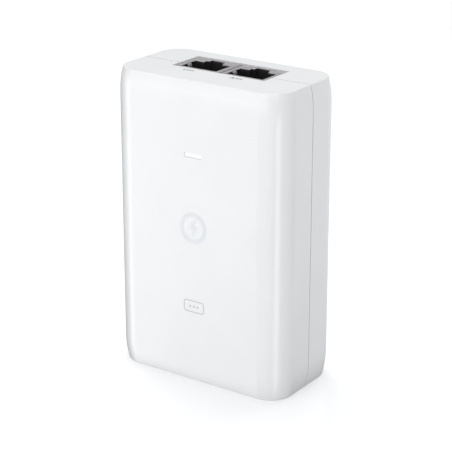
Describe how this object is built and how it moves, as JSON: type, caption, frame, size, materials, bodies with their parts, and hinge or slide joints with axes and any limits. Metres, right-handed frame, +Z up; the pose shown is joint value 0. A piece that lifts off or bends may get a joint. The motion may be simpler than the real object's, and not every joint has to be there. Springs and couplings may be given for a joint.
{
  "type": "poe injector",
  "caption": "Upright white plastic power-over-ethernet injector with modular jacks in the top, mains inlet in the base and slide-off wall bracket.",
  "frame": {"origin": "middle of the base, at the bottom of the case", "axes": "+Z up towards the modular jacks, -Y towards the front with the light, +X to the right seen from the front"},
  "size_m": [0.063, 0.0336, 0.0973],
  "materials": {
    "white_shell": "satin white moulded plastic",
    "light_guide": "clear to milky light guide",
    "black_plastic": "black engineering plastic",
    "shield_metal": "satin nickel-plated sheet",
    "contact_gold": "gold-plated spring contacts",
    "pin_metal": "nickel-plated pins",
    "board_green": "green solder mask",
    "barrier_sheet": "translucent insulating sheet",
    "screw_steel": "zinc-plated screws",
    "ferrite": "dark grey ferrite",
    "copper_wire": "enamelled copper wire",
    "winding_tape": "yellow polyester tape",
    "heat_sink_aluminium": "plain sheet aluminium",
    "capacitor_sleeve": "dark shrink sleeve",
    "film_box": "grey moulded box",
    "dipped_ceramic": "blue dipped coating",
    "glass_tube": "glass fuse tube"
  },
  "bodies": {
    "housing": {"front_cover": "white_shell", "rear_cover": "white_shell", "status_light_pipe": "light_guide", "status_led": "light_guide", "led_spacer": "black_plastic", "inlet_housing": "black_plastic", "poe_jack_body": "black_plastic", "lan_jack_body": "black_plastic", "bridge_rectifier": "black_plastic", "switching_transistor": "black_plastic", "output_rectifier": "black_plastic", "transformer_base": "black_plastic", "optocoupler": "black_plastic", "line_magnetics": "black_plastic", "supply_controller": "black_plastic", "poe_jack_shield": "shield_metal", "lan_jack_shield": "shield_metal", "poe_contact_1": "contact_gold", "poe_contact_2": "contact_gold", "poe_contact_3": "contact_gold", "poe_contact_4": "contact_gold", "poe_contact_5": "contact_gold", "poe_contact_6": "contact_gold", "poe_contact_7": "contact_gold", "poe_contact_8": "contact_gold", "lan_contact_1": "contact_gold", "lan_contact_2": "contact_gold", "lan_contact_3": "contact_gold", "lan_contact_4": "contact_gold", "lan_contact_5": "contact_gold", "lan_contact_6": "contact_gold", "lan_contact_7": "contact_gold", "lan_contact_8": "contact_gold", "inlet_pin_line": "pin_metal", "inlet_pin_neutral": "pin_metal", "inlet_pin_earth": "pin_metal", "main_board": "board_green", "insulation_sheet": "barrier_sheet", "board_screw_1": "screw_steel", "board_screw_2": "screw_steel", "board_screw_3": "screw_steel", "board_screw_4": "screw_steel", "choke_core": "ferrite", "transformer_core": "ferrite", "output_choke": "ferrite", "choke_winding_left": "copper_wire", "choke_winding_right": "copper_wire", "transformer_winding": "winding_tape", "primary_heat_sink": "heat_sink_aluminium", "output_heat_sink": "heat_sink_aluminium", "bulk_capacitor": "capacitor_sleeve", "output_capacitor_lower": "capacitor_sleeve", "output_capacitor_upper": "capacitor_sleeve", "filter_capacitor": "film_box", "surge_suppressor": "dipped_ceramic", "safety_capacitor": "dipped_ceramic", "fuse": "glass_tube"},
    "wall_bracket": {"wall_bracket": "white_shell"}
  },
  "joints": [
    {"name": "bracket_slide", "type": "slide", "parent": "housing", "child": "wall_bracket", "axis": [0, 0, -1], "range_m": [0, 0.009]}
  ]
}
